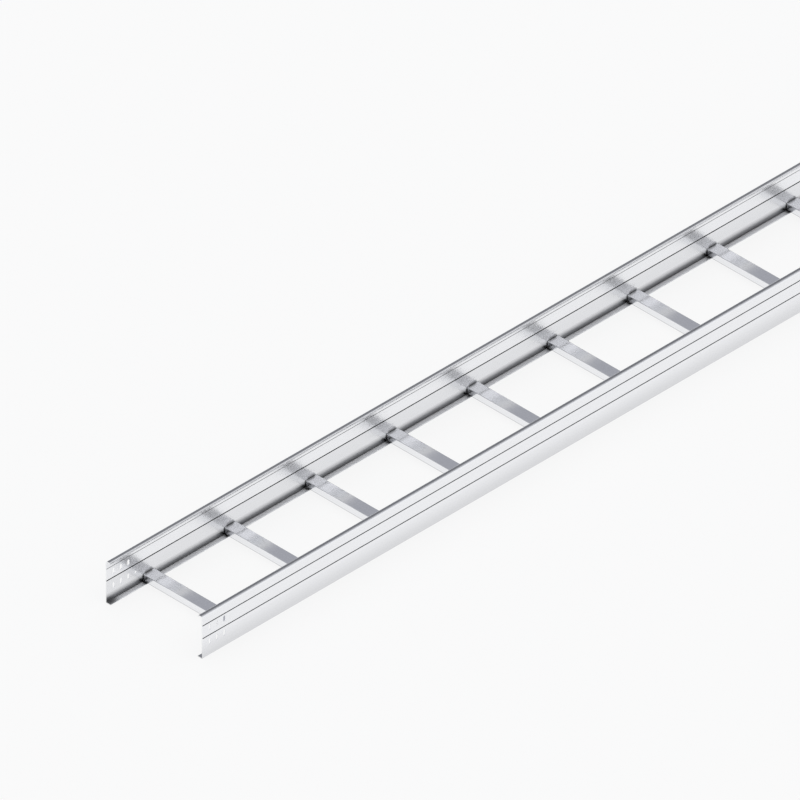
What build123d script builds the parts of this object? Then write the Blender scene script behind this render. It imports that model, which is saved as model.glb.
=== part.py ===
# Cable ladder section: two extruded side rails joined by rungs that stand on their bottom flanges.
# Frame in millimetres: +X along the length, +Y towards the left rail, +Z up.
# The origin is on the floor, at the middle of the section.
from build123d import *
import os

os.makedirs("parts", exist_ok=True)

# The whole section
length = 3000
overall_width = 400
rail_height = 150

# Side rail: an extruded channel, open towards the cables
web_thickness = 3
flange_thickness = 3
flange_width = 20
base_radius = 5
inside_radius = 1
edge_radius = 1

# The hook along the top of the rail: a wide round towards the outside, a smaller one down into a short lip
hook_width = 18.5
hook_thickness = 3
crown_radius = 8
hook_radius = 5
lip_straight = 0.5

# V grooves that run along the web: the height of each groove's middle, its width and its depth
outer_grooves = [(117.5, 4, 1.5), (72.5, 4, 1.5)]
inner_grooves = [(120.5, 2, 0.8), (78.5, 4, 1.5)]

# Splice slots at each end of both rails, and the earthing hole of the left rail
slot_width = 9
slot_height = 21
slot_first = 30
slot_pitch = 30
slot_columns = 3
slot_row_low = 50
slot_row_high = 100
earth_hole_diameter = 9
earth_hole_place = 120

# Rungs: square-cut lengths of rectangular tube
rung_count = 9
rung_width = 45
rung_height = 25
rung_wall = 2
rung_radius = 1.5
first_rung = 172

# A countersunk screw holds each rung end from below, through the bottom flange
screw_hole_diameter = 5.5
screw_head_diameter = 10

# What follows from these sizes
hook_depth = hook_radius + lip_straight + edge_radius
rung_pitch = length / rung_count
rung_places = [-length / 2 + first_rung + rung_pitch * i for i in range(rung_count)]
rung_end = web_thickness + inside_radius
rung_length = overall_width - 2 * rung_end
screw_inset = (rung_end + flange_width) / 2
ends = (-1, 1)


# The section of a side rail, drawn from the outer face inwards and from the floor up
outline = [
    (0, 0, base_radius),
    (0, rail_height, crown_radius),
    (hook_width, rail_height, hook_radius),
    (hook_width, rail_height - hook_depth, edge_radius),
    (hook_width - hook_thickness, rail_height - hook_depth, edge_radius),
    (hook_width - hook_thickness, rail_height - hook_thickness, hook_radius - hook_thickness),
    (web_thickness, rail_height - hook_thickness, crown_radius - hook_thickness),
    (web_thickness, flange_thickness, inside_radius),
    (flange_width, flange_thickness, edge_radius),
    (flange_width, 0, edge_radius),
]
corners = [(across, up) for across, up, radius in outline]
corner_radii = [radius for across, up, radius in outline]

slot_places = []
for end in ends:
    for column in range(slot_columns):
        place = end * (length / 2 - slot_first - slot_pitch * column)
        slot_places += [(place, slot_row_low), (place, slot_row_high)]

# Side rails
for name, side in (("side_rail_left", 1), ("side_rail_right", -1)):
    outer_y = side * overall_width / 2
    section_plane = Plane(origin=(0, outer_y, 0), x_dir=(0, -side, 0), z_dir=(-side, 0, 0))
    face_plane = Plane(origin=(0, outer_y, 0), x_dir=(1, 0, 0), z_dir=(0, -1, 0))

    with BuildPart() as rail:
        with BuildSketch(section_plane):
            with BuildLine():
                FilletPolyline(*corners, radius=corner_radii, close=True)
            make_face()
            # Each groove is a triangle cut out of the web, with its point inside the wall
            for middle, width, depth in outer_grooves:
                groove = [(0, middle - width / 2), (depth, middle), (0, middle + width / 2)]
                Polygon(*groove, align=None, mode=Mode.SUBTRACT)
            for middle, width, depth in inner_grooves:
                point = (web_thickness - depth, middle)
                groove = [(web_thickness, middle - width / 2), point, (web_thickness, middle + width / 2)]
                Polygon(*groove, align=None, mode=Mode.SUBTRACT)
        extrude(amount=length / 2, both=True)

        with BuildSketch(face_plane):
            with Locations(*slot_places):
                SlotOverall(slot_height, slot_width, rotation=90)
            if side > 0:
                with Locations(*[(end * (length / 2 - earth_hole_place), slot_row_low) for end in ends]):
                    Circle(earth_hole_diameter / 2)
        extrude(amount=side * web_thickness, mode=Mode.SUBTRACT)

        # The screw holes are countersunk in the underside of the flange, under the middle of each rung
        screw_y = side * (overall_width / 2 - screw_inset)
        for rung_x in rung_places:
            with Locations(Plane(origin=(rung_x, screw_y, 0), z_dir=(0, 0, -1))):
                CounterSinkHole(screw_hole_diameter / 2, screw_head_diameter / 2, flange_thickness)

    rail.part.label = name
    export_step(rail.part, f"parts/{name}.step")

# Rungs
for number, rung_x in enumerate(rung_places, start=1):
    rung_plane = Plane(
        origin=(rung_x, 0, flange_thickness + rung_height / 2), x_dir=(1, 0, 0), z_dir=(0, -1, 0)
    )
    with BuildPart() as rung:
        with BuildSketch(rung_plane):
            RectangleRounded(rung_width, rung_height, rung_radius)
            Rectangle(rung_width - 2 * rung_wall, rung_height - 2 * rung_wall, mode=Mode.SUBTRACT)
        extrude(amount=rung_length / 2, both=True)

    name = f"rung_{number:02d}"
    rung.part.label = name
    export_step(rung.part, f"parts/{name}.step")
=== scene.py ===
import bpy
import numpy as np
from mathutils import Matrix, Vector


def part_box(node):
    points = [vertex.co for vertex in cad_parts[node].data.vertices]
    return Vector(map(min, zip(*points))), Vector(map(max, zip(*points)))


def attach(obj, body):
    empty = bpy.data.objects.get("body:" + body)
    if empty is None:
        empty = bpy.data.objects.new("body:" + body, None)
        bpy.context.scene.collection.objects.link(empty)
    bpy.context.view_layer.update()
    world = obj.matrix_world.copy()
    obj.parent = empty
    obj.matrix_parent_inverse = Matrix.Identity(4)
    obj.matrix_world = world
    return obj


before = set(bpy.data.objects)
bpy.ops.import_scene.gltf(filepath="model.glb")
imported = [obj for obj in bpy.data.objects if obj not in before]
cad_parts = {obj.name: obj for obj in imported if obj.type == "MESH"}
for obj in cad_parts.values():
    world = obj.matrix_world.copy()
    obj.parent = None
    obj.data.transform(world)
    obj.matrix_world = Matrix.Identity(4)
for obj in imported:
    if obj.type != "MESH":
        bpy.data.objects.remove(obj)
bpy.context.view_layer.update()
print("frame loaded:", len(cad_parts), "nodes")


# Shader wiring: a socket that can stand in a sum. Each operator adds one Math node
class Wire:
    def __init__(self, tree, socket=None):
        self.tree = tree
        self.socket = socket

    # a wire from one output of a new node, whose inputs take values or other wires
    def add(self, kind, settings=None, inputs=None, output=0):
        made = self.tree.nodes.new(kind)
        for name, value in (settings or {}).items():
            setattr(made, name, value)
        for name, value in (inputs or {}).items():
            if isinstance(value, Wire):
                self.tree.links.new(value.socket, made.inputs[name])
            else:
                made.inputs[name].default_value = value
        return Wire(self.tree, made.outputs[output] if made.outputs else None)

    def maths(self, operation, *values):
        return self.add("ShaderNodeMath", {"operation": operation}, dict(enumerate(values)))

    def __add__(self, other):
        return self.maths("ADD", self, other)

    def __radd__(self, other):
        return self.maths("ADD", other, self)

    def __sub__(self, other):
        return self.maths("SUBTRACT", self, other)

    def __rsub__(self, other):
        return self.maths("SUBTRACT", other, self)

    def __mul__(self, other):
        return self.maths("MULTIPLY", self, other)

    def __rmul__(self, other):
        return self.maths("MULTIPLY", other, self)

    def size(self):
        return self.maths("ABSOLUTE", self)

    def larger(self, other):
        return self.maths("MAXIMUM", self, other)

    # distance to the nearest of a row of places, each this far from the next, one of them at 0
    def toNearest(self, pitch):
        return self.maths("PINGPONG", self, pitch / 2)

    # 0 below low, 1 above high, smooth between
    def ramp(self, low, high):
        return self.add(
            "ShaderNodeMapRange",
            {"interpolation_type": "SMOOTHSTEP"},
            {"Value": self, "From Min": low, "From Max": high},
        )

    # 1 between low and high, fading out over an edge inside each
    def band(self, low, high, edge):
        return self.ramp(low, low + edge) * (1 - self.ramp(high - edge, high))

    # noise of this vector, stretched by a factor for each axis
    def noise(self, stretch, detail=2.0, roughness=0.5):
        placed = self.add("ShaderNodeMapping", None, {"Vector": self, "Scale": stretch})
        return self.add(
            "ShaderNodeTexNoise",
            None,
            {"Vector": placed, "Scale": 1.0, "Detail": detail, "Roughness": roughness},
            "Fac",
        )

    # the first colour where this mask is 0, the second where it is 1
    def pick(self, first, second):
        return self.add("ShaderNodeMix", {"data_type": "RGBA"}, {0: self, 6: first, 7: second}, 2)


# A colour socket's value for these red, green and blue shares
def solid(rgb):
    return (*rgb, 1.0)


# Both ends of a fade that are given as shares of a length
def shares(pair, length):
    return [share * length for share in pair]


# A new material without nodes, and a wire that has no socket yet, to add its nodes with
def newMaterial(name):
    material = bpy.data.materials.new(name)
    material.use_nodes = True
    material.node_tree.nodes.clear()
    return material, Wire(material.node_tree)


# The last nodes of a metal: a bump of this height in metres, the surface and the output
def finishMetal(start, colour, metallic, roughness, height):
    bump = start.add("ShaderNodeBump", None, {"Strength": 1.0, "Distance": 1.0, "Height": height})
    inputs = {"Base Color": colour, "Metallic": metallic, "Roughness": roughness, "Normal": bump}
    surface = start.add("ShaderNodeBsdfPrincipled", None, inputs)
    start.add("ShaderNodeOutputMaterial", None, {"Surface": surface})


# Satin aluminium as extruded: fine lines along one axis, saw marks where it was cut to length
extruded = {
    "pale": (0.912, 0.918, 0.936),
    "deep": (0.853, 0.861, 0.884),
    "cutColour": (0.93, 0.935, 0.945),
    "railRoughness": 0.22,
    "rungRoughness": 0.16,
    "roughnessSpread": 0.06,
    "cutRoughness": 0.34,
    "alongStretch": 0.8,  # lines per metre along the profile
    "acrossStretch": 700.0,  # lines per metre around it
    "lineDetail": 3.0,  # how many finer noises lie over the lines' own
    "lineGrain": 0.6,  # how strong each of them is beside the one before
    "bandStretch": 84.0,  # wider bands of lines, per metre
    "bandDetail": 1.0,
    "patchStretch": (2.5, 9.0, 9.0),
    "sawStretch": (300.0, 300.0, 2600.0),
    "toneShares": (0.3, 0.4, 0.3),  # what lines, bands and patches give to the colour
    "lineDepth": 0.000006,
    "cutDepth": 0.00002,
    "cutSkin": (0.0003, 0.00015),  # how near the end a face begins to count as sawn, and counts
}


# Where the faces of the rail's section lie, inwards from its outer face and up from the floor
section = {
    "web": 0.003,  # thickness of the web, and of the flange
    "hookWidth": 0.0185,
    "hookDepth": 0.0065,  # from the rail's top down to the lip's lower edge
    "slotFoot": 0.0385,  # a millimetre below the low slots
    "slotHead": 0.1115,  # a millimetre above the high slots
    "grooves": [(0.0755, 0.0085), (0.119, 0.0065)],  # middle height and half height round each pair
}


# Painted soft shade in the rail's corners, grooves and round the rungs' feet, reaches in metres
railShade = {
    "innerFaces": (0.5, 0.8),  # where the inner faces begin, as shares of the wall's thickness
    "webFace": (1.2, 1.6),  # where the web's inner face ends, in the same shares
    "flangeFace": (1.1, 1.4),  # where the flange's top ends
    "cornerReach": 0.038,  # how far up the web the painted shade of the flange's corner reaches
    "cornerShare": 0.85,
    "underRung": 0.012,  # how far inside a rung's sides the shade above it fades
    "overRungReach": 0.016,
    "overRungShare": 0.8,
    "pocketReach": 0.014,  # beside a rung, on the web and on the flange
    "pocketTop": (0.7, 1.2),  # where it fades on the web, as shares of the rung's top
    "pocketShare": 0.97,
    "flangeCornerReach": 0.006,
    "flangeCornerShare": 0.25,
    "flangeEndReach": (0.012, 0.05),  # how far from the rail's ends the flange has painted shade, and is clear of it
    "flangeEndShare": 0.45,
    "hookSkin": (0.0003, 0.00009),  # how near the top a face begins to count as flat, and counts
    "hookShare": 0.52,
    "lipSkin": (0.002, 0.001),  # the same for the lip, from the hook's innermost face
    "lipReach": 0.0025,  # how far up from its lower edge the lip is shaded
    "lipClear": (0.02, 0.01),  # how far below the lip its shade begins, and is full: above the flange
    "lipShare": 0.45,
    "wallSkin": 0.0001,  # how deep in the web's wall a groove or a slot begins
    "wallEdge": 0.0002,
    "endSkin": (0.001, 0.002),  # how far from the sawn ends grooves and slots begin to count, and count
    "grooveEdge": 0.0005,
    "grooveShare": 0.97,
    "lowBand": 0.074,  # the web has painted shade below this: evenly on the inside, most at the foot outside
    "lowBandEdge": 0.004,
    "lowBandInside": 0.09,
    "lowBandOutside": 0.17,
    "slotMargin": 0.001,  # how far past those heights a wall may still be a slot's
    "slotEdge": 0.0005,
    "punchedMatt": 0.7,  # walls of the slots and holes
    "flangeMatt": 0.5,
}


# Share of painted shade for a point of a rail, 1 black and 0 none, and its share of matt surface.
# Each part of the painted shade is a mask of the place times a share, and the darkest part counts.
def shadeRail(east, north, up, look):
    web = section["web"]
    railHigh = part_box("side_rail_left")[1]
    rungLow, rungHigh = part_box("rung_01")
    rungTop = rungHigh.z
    rungSide = (rungHigh.x - rungLow.x) / 2
    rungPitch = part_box("rung_02")[0].x - rungLow.x
    fromRung = (east - (rungLow.x + rungSide)).toNearest(rungPitch)
    fromEnd = railHigh.x - east.size()

    # Which face it is. The inner ones lie past the wall's middle, both inwards and upwards
    inward = railHigh.y - north.size()
    innerFaces = shares(look["innerFaces"], web)
    inner = inward.ramp(*innerFaces) * up.ramp(*innerFaces)
    onWeb = inner * (1 - inward.ramp(*shares(look["webFace"], web)))
    onFlange = inner * (1 - up.ramp(*shares(look["flangeFace"], web)))

    # Painted shade in the corner of web and flange, darker over the rungs and beside them, and on the
    # flange's ends
    corner = onWeb * (1 - up.ramp(web, web + look["cornerReach"])) * look["cornerShare"]
    behind = 1 - fromRung.ramp(rungSide - look["underRung"], rungSide)
    lowOver = 1 - up.ramp(rungTop, rungTop + look["overRungReach"])
    overRung = onWeb * behind * lowOver * look["overRungShare"]
    beside = 1 - fromRung.ramp(rungSide, rungSide + look["pocketReach"])
    lowWeb = onWeb * (1 - up.ramp(*shares(look["pocketTop"], rungTop)))
    pocket = (onFlange + lowWeb) * beside * look["pocketShare"]
    nearWeb = 1 - inward.ramp(web, web + look["flangeCornerReach"])
    flangeCorner = onFlange * nearWeb * look["flangeCornerShare"]
    flangeEnd = onFlange * (1 - fromEnd.ramp(*look["flangeEndReach"]))
    flangeDark = flangeEnd * look["flangeEndShare"]

    # Painted shade on the hook's flat top and along the lower edge of its lip
    hookStart, hookFull = look["hookSkin"]
    hook = up.ramp(railHigh.z - hookStart, railHigh.z - hookFull) * look["hookShare"]
    lipStart, lipFull = look["lipSkin"]
    onLip = inward.ramp(section["hookWidth"] - lipStart, section["hookWidth"] - lipFull)
    lipFoot = railHigh.z - section["hookDepth"]
    clearStart, clearFull = look["lipClear"]
    overFlange = up.ramp(lipFoot - clearStart, lipFoot - clearFull)
    lipEdge = overFlange * (1 - up.ramp(lipFoot, lipFoot + look["lipReach"]))
    lip = onLip * lipEdge * look["lipShare"]

    # What is cut into the wall: the grooves get painted shade, the walls of the slots and holes are matt
    skin, margin = look["wallSkin"], look["slotMargin"]
    within = inward.band(skin, web - skin, look["wallEdge"]) * fromEnd.ramp(*look["endSkin"])
    fromMiddles = [((up - middle).size(), half) for middle, half in section["grooves"]]
    bands = [1 - away.ramp(half - look["grooveEdge"], half) for away, half in fromMiddles]
    inGroove = within * (bands[0] + bands[1])
    groove = inGroove * look["grooveShare"]
    slotZone = up.band(section["slotFoot"] - margin, section["slotHead"] + margin, look["slotEdge"])
    punched = (within * slotZone - inGroove).larger(0.0)

    # Painted shade low down on the web, a little, on both faces
    lowShadeOutside = (1 - up.ramp(0.0, look["lowBand"])) * (1 - inner) * look["lowBandOutside"]
    lowInside = 1 - up.ramp(look["lowBand"], look["lowBand"] + look["lowBandEdge"])
    lowShadeInside = onWeb * lowInside * look["lowBandInside"]

    shade = corner
    for part in (overRung, pocket, flangeCorner, flangeDark, groove, lowShadeOutside, lowShadeInside, hook, lip):
        shade = shade.larger(part)
    return shade, (onFlange - flangeEnd) * look["flangeMatt"] + punched * look["punchedMatt"]


# Painted shade along the foot of a rung's sides
rungShade = {
    "footSkin": (0.0002, 0.0005),  # the underside itself isn't shaded
    "lineReach": (0.00225, 0.0045),  # how far up the line is at its full strength, and ends
    "lineShare": 0.28,
}


# Share of painted shade for a point of a rung: a thin line of shade along the lower edges of its
# sides, which fades out upwards and leaves the underside clear. No part of a rung is matt.
def shadeRung(east, north, up, look):
    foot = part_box("rung_01")[0].z
    skinStart, skinFull = look["footSkin"]
    lineFull, lineEnd = look["lineReach"]
    line = 1 - up.ramp(foot + lineFull, foot + lineEnd)
    return line * up.ramp(foot + skinStart, foot + skinFull) * look["lineShare"], 0.0


# The look of one profile: lines run along the axis, and faces past cutAt on that axis are sawn.
# The colour goes from deep to pale by the weighted sum of lines, bands and patches, is even where
# it is sawn, and the painted shade then takes it towards black. The roughness is the plain one,
# give or take a spread that follows the mean of bands and patches, and a sawn face is rougher. The
# height is that of the lines, or of the saw marks where it is sawn.
def extrudedAluminium(name, axis, cutAt, plain, look, shadeOf, shading):
    material, start = newMaterial(name)
    place = start.add("ShaderNodeTexCoord", None, None, "Object")
    parts = start.add("ShaderNodeSeparateXYZ", None, {"Vector": place})
    east, north, up = (Wire(start.tree, parts.socket.node.outputs[letter]) for letter in "XYZ")
    along = {"X": east, "Y": north}[axis]

    lineStretch = [look["acrossStretch"]] * 3
    bandStretch = [look["bandStretch"]] * 3
    lineStretch["XYZ".index(axis)] = look["alongStretch"]
    bandStretch["XYZ".index(axis)] = look["alongStretch"]
    lines = place.noise(lineStretch, look["lineDetail"], look["lineGrain"])
    bands = place.noise(bandStretch, look["bandDetail"])
    patches = place.noise(look["patchStretch"])
    cutStart, cutFull = look["cutSkin"]
    sawn = along.size().ramp(cutAt - cutStart, cutAt - cutFull)
    sawMarks = place.noise(look["sawStretch"])

    lineTone, bandTone, patchTone = look["toneShares"]
    tone = lines * lineTone + bands * bandTone + patches * patchTone
    skin = tone.pick(solid(look["deep"]), solid(look["pale"]))
    metal = sawn.pick(skin, solid(look["cutColour"]))
    # the painted shade takes the metal's colour towards black, and the matt share lowers the metallic
    shade, matt = shadeOf(east, north, up, shading)
    black = solid((0.0, 0.0, 0.0))
    colour = shade.pick(metal, black)
    metallic = 1 - matt
    skinRoughness = plain + (bands * 0.5 + patches * 0.5 - 0.5) * look["roughnessSpread"]
    roughness = skinRoughness + sawn * (look["cutRoughness"] - plain)
    height = lines * (1 - sawn) * look["lineDepth"] + sawMarks * sawn * look["cutDepth"]
    finishMetal(start, colour, metallic, roughness, height)
    return material


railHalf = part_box("side_rail_left")[1].x
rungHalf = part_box("rung_01")[1].y
railMaterial = extrudedAluminium(
    "rail_aluminium", "X", railHalf, extruded["railRoughness"], extruded, shadeRail, railShade
)
rungMaterial = extrudedAluminium(
    "rung_aluminium", "Y", rungHalf, extruded["rungRoughness"], extruded, shadeRung, rungShade
)
for name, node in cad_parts.items():
    node.data.materials.clear()
    node.data.materials.append(rungMaterial if name.startswith("rung") else railMaterial)
print("aluminium on", len(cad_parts), "nodes")


# Countersunk socket screws under the rung ends, seen only from below
screw = {
    "headRadius": 0.0048,
    "shankRadius": 0.0024,
    "rimHeight": 0.0004,  # straight rim of the head
    "coneHeight": 0.0022,
    "tipHeight": 0.0049,  # just inside the rung's lower wall
    "inset": 0.0002,  # how far the head lies above the rail's underside
    "edgeHeight": 0.0001,  # the small bevels on the rim and round the socket
    "edgeWidth": 0.0002,
    "socketWidth": 0.003,  # across the flats of the hexagon
    "socketDepth": 0.0016,
    "socketMiddle": 0.2,  # the inmost ring of the socket's floor, as a share of its radius
    "hexFade": 0.6,  # how much of a hexagon is left where the bevel meets the flat face
    "turns": 48,
    "fromEdge": 0.012,  # from the rail's outer face to the screw
    "deep": (0.62, 0.62, 0.61),
    "pale": (0.75, 0.75, 0.74),
    "speckles": 900.0,  # per metre
    "speckleDepth": 0.00001,
    "roughness": 0.24,
    "roughnessSpread": 0.12,
}


# Carries a profile of (radius, height, hexagon share) round the Z axis. The radius at each turn
# angle is the profile's radius, grown towards a hexagon by the share: 1 makes flats, 0 is round.
def turnedMesh(profile, turns, centre):
    radius, height, hexShare = np.array(profile).T
    angle = np.linspace(0, 2 * np.pi, turns, endpoint=False)
    sector = (angle + np.pi / 6) % (np.pi / 3) - np.pi / 6
    grow = 1 + hexShare[:, None] * (1 / np.cos(sector) - 1)
    x = centre[0] + radius[:, None] * grow * np.cos(angle)
    y = centre[1] + radius[:, None] * grow * np.sin(angle)
    z = centre[2] + np.repeat(height[:, None], turns, axis=1)
    points = np.stack([x, y, z], axis=-1).reshape(-1, 3)
    ring, step = np.meshgrid(np.arange(len(radius) - 1), np.arange(turns), indexing="ij")
    after = (step + 1) % turns
    above = (ring + 1) * turns
    faces = np.stack([ring * turns + step, ring * turns + after, above + after, above + step], axis=-1)
    firstLid = list(range(turns))[::-1]
    lastLid = list(range((len(radius) - 1) * turns, len(radius) * turns))
    return points, faces.reshape(-1, 4).tolist() + [firstLid, lastLid]


# The socket's floor and walls, the flat face, the rim, the cone and the shank, from the inside out
def screwProfile(look):
    face, edge, bevel = look["inset"], look["edgeHeight"], look["edgeWidth"]
    socket, head = look["socketWidth"] / 2, look["headRadius"]
    coneTop = face + look["rimHeight"] + look["coneHeight"]
    return [
        (socket * look["socketMiddle"], face + look["socketDepth"], 1.0),
        (socket, face + look["socketDepth"], 1.0),
        (socket, face + edge, 1.0),
        (socket + bevel, face, look["hexFade"]),
        (head - bevel, face, 0.0),
        (head, face + edge, 0.0),
        (head, face + look["rimHeight"], 0.0),
        (look["shankRadius"], coneTop, 0.0),
        (look["shankRadius"], look["tipHeight"], 0.0),
    ]


# One fine noise sets the colour, from deep to pale, and adds to the roughness and the height
def screwSteel(look):
    material, start = newMaterial("screw_steel")
    place = start.add("ShaderNodeTexCoord", None, None, "Object")
    speckle = place.noise((look["speckles"], look["speckles"], look["speckles"]))
    colour = speckle.pick(solid(look["deep"]), solid(look["pale"]))
    roughness = look["roughness"] + speckle * look["roughnessSpread"]
    finishMetal(start, colour, 1.0, roughness, speckle * look["speckleDepth"])
    return material


# Two screws to a rung, under the middle of its width and the same way in from either rail's face
def makeScrews(look):
    steel = screwSteel(look)
    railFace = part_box("side_rail_left")[1].y
    profile = screwProfile(look)
    rungs = [name for name in sorted(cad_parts) if name.startswith("rung")]
    for name in rungs:
        low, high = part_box(name)
        for side, word in ((1, "left"), (-1, "right")):
            centre = ((low.x + high.x) / 2, side * (railFace - look["fromEdge"]), 0.0)
            points, faces = turnedMesh(profile, look["turns"], centre)
            mesh = bpy.data.meshes.new(f"{name}_screw_{word}")
            mesh.from_pydata(points, [], faces)
            mesh.materials.append(steel)
            piece = bpy.data.objects.new(mesh.name, mesh)
            bpy.context.collection.objects.link(piece)
            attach(piece, "root")
    print("screws placed:", 2 * len(rungs))


makeScrews(screw)


# Studio: pale floor that fades into the background, one wide soft lamp, a sky with a pale foot
studio = {
    "background": 0.956,
    "floorRadius": 9.0,
    "floorSides": 96,
    "floorFade": (0.4, 0.95),  # where the floor begins to fade and is gone, as shares of its radius
    "floorColour": 0.732,
    "lampStrength": 2.2,
    "lampAngle": 1.9,
    "shadowShare": 0.12,  # how much of the floor is lit by the lamp, the rest glows evenly
    "farSky": (0.375, 0.382, 0.42),
    "rightSky": (1.0, 1.0, 1.02),
    "zenith": (0.55, 0.56, 0.58),
    "rightEdge": (0.1, 0.7),  # how far right of the view the right side's light begins and is full
    "skyFoot": (0.02, 0.42),  # the pale foot ends between these climbs
    "zenithEdge": (0.62, 0.8),
}


# 1 for what the camera, a reflection or a clear surface sees, 0 for the light that falls on things
def cameraOrGloss(start):
    rays = start.add("ShaderNodeLightPath")
    outputs = rays.socket.node.outputs
    kinds = [Wire(start.tree, outputs[f"Is {word} Ray"]) for word in ("Camera", "Glossy", "Transmission")]
    return start.maths("MINIMUM", kinds[0] + kinds[1] + kinds[2], 1.0)


# What the camera and reflections see of the floor is a share of lit paper, and for the rest an
# even glow. It fades out with the distance from the middle, and is clear from below.
def makeFloor(look):
    ring = np.linspace(0, 2 * np.pi, look["floorSides"], endpoint=False)
    rim = np.stack([np.cos(ring), np.sin(ring), np.zeros_like(ring)], axis=-1) * look["floorRadius"]
    mesh = bpy.data.meshes.new("floor")
    mesh.from_pydata(rim, [], [list(range(len(rim)))])
    floor = bpy.data.objects.new("floor", mesh)
    bpy.context.collection.objects.link(floor)
    material, start = newMaterial("floor_paper")
    place = start.add("ShaderNodeTexCoord", None, None, "Object")
    distance = start.add("ShaderNodeVectorMath", {"operation": "LENGTH"}, {0: place}, "Value")
    fade = distance.ramp(*shares(look["floorFade"], look["floorRadius"]))
    behind = start.add("ShaderNodeNewGeometry", None, None, "Backfacing")
    clear = start.add("ShaderNodeBsdfTransparent")
    paper = start.add("ShaderNodeBsdfDiffuse", None, {"Color": solid([look["floorColour"]] * 3)})
    glow = start.add("ShaderNodeEmission", None, {"Strength": look["background"]})
    seen = cameraOrGloss(start)
    lit = start.add("ShaderNodeMixShader", None, {0: seen * (1 - look["shadowShare"]), 1: paper, 2: glow})
    surface = start.add("ShaderNodeMixShader", None, {0: fade.larger(behind), 1: lit, 2: clear})
    start.add("ShaderNodeOutputMaterial", None, {"Surface": surface})
    mesh.materials.append(material)


# Cards that only reflections show. The dark one stands over the near rail and keeps the light
# of the right side off the rungs' mirror images in the far rail. The pale one stands behind the
# far rail and lights the middle of each rung's top.
cards = {
    "dark_card": {"north": -0.205, "heights": (0.23, 0.385), "level": 0.1},
    "pale_card": {"north": 0.212, "heights": (0.178, 0.200), "level": 0.72},
}


# An upright strip along the whole floor that glows evenly
def makeCard(name, look):
    low, high = look["heights"]
    east, north = studio["floorRadius"], look["north"]
    mesh = bpy.data.meshes.new(name)
    corners = [(-east, north, low), (east, north, low), (east, north, high), (-east, north, high)]
    mesh.from_pydata(corners, [], [(0, 1, 2, 3)])
    card = bpy.data.objects.new(name, mesh)
    bpy.context.collection.objects.link(card)
    card.visible_camera = False
    card.visible_diffuse = False
    card.visible_shadow = False
    material, start = newMaterial(f"{name}_paint")
    glow = start.add("ShaderNodeEmission", None, {"Strength": look["level"]})
    start.add("ShaderNodeOutputMaterial", None, {"Surface": glow})
    mesh.materials.append(material)


# The colour of a direction: pale at the foot, above it from the far side's grey to the right
# side's white by how far it points to the right, and another grey round the zenith. The camera
# sees only the background colour.
def makeSky(look):
    world = bpy.data.worlds.new("studio")
    bpy.context.scene.world = world
    world.use_nodes = True
    world.node_tree.nodes.clear()
    start = Wire(world.node_tree)
    direction = start.add("ShaderNodeTexCoord", None, None, "Generated")
    parts = start.add("ShaderNodeSeparateXYZ", None, {"Vector": direction})
    outputs = parts.socket.node.outputs
    east, north, up = (Wire(start.tree, outputs[axis]) for axis in "XYZ")
    rightness = ((east - north) * np.sqrt(0.5)).ramp(*look["rightEdge"])
    pale = solid([look["background"]] * 3)
    middle = rightness.pick(solid(look["farSky"]), solid(look["rightSky"]))
    dome = up.ramp(*look["skyFoot"]).pick(pale, middle)
    dome = up.ramp(*look["zenithEdge"]).pick(dome, solid(look["zenith"]))
    seen = start.add("ShaderNodeLightPath", None, None, "Is Camera Ray")
    sky = start.add("ShaderNodeBackground", None, {"Strength": 1.0, "Color": seen.pick(dome, pale)})
    start.add("ShaderNodeOutputWorld", None, {"Surface": sky})


# A sun straight above, with so wide a disc that its shadows are soft. Reflections don't show it
def makeLamp(look):
    data = bpy.data.lights.new("soft_lamp", "SUN")
    data.energy = look["lampStrength"]
    data.angle = look["lampAngle"]
    lamp = bpy.data.objects.new("soft_lamp", data)
    lamp.visible_glossy = False
    bpy.context.collection.objects.link(lamp)


# The photo's view, from so far off that parallel lines stay very nearly parallel
photoView = {
    "place": (-64.0111, -63.796, 63.8198),
    "looks": (0.576571, 0.57907, -0.576406),
    "up": (0.407831, 0.407332, 0.817163),
    "lens": 1700,
    "clipEnd": 400,
}


# The camera's axes: side is square to up and back, and the third one square to both
def makeCamera(look):
    data = bpy.data.cameras.new("camera")
    data.lens = look["lens"]
    data.clip_end = look["clipEnd"]
    camera = bpy.data.objects.new("camera", data)
    bpy.context.collection.objects.link(camera)
    back = -Vector(look["looks"]).normalized()
    side = Vector(look["up"]).cross(back).normalized()
    axes = Matrix((side, back.cross(side), back)).transposed()
    camera.matrix_world = Matrix.Translation(look["place"]) @ axes.to_4x4()
    bpy.context.scene.camera = camera


makeFloor(studio)
for name, look in cards.items():
    makeCard(name, look)
makeSky(studio)
makeLamp(studio)
makeCamera(photoView)
bpy.context.scene.view_settings.view_transform = "Standard"
print("studio ready")
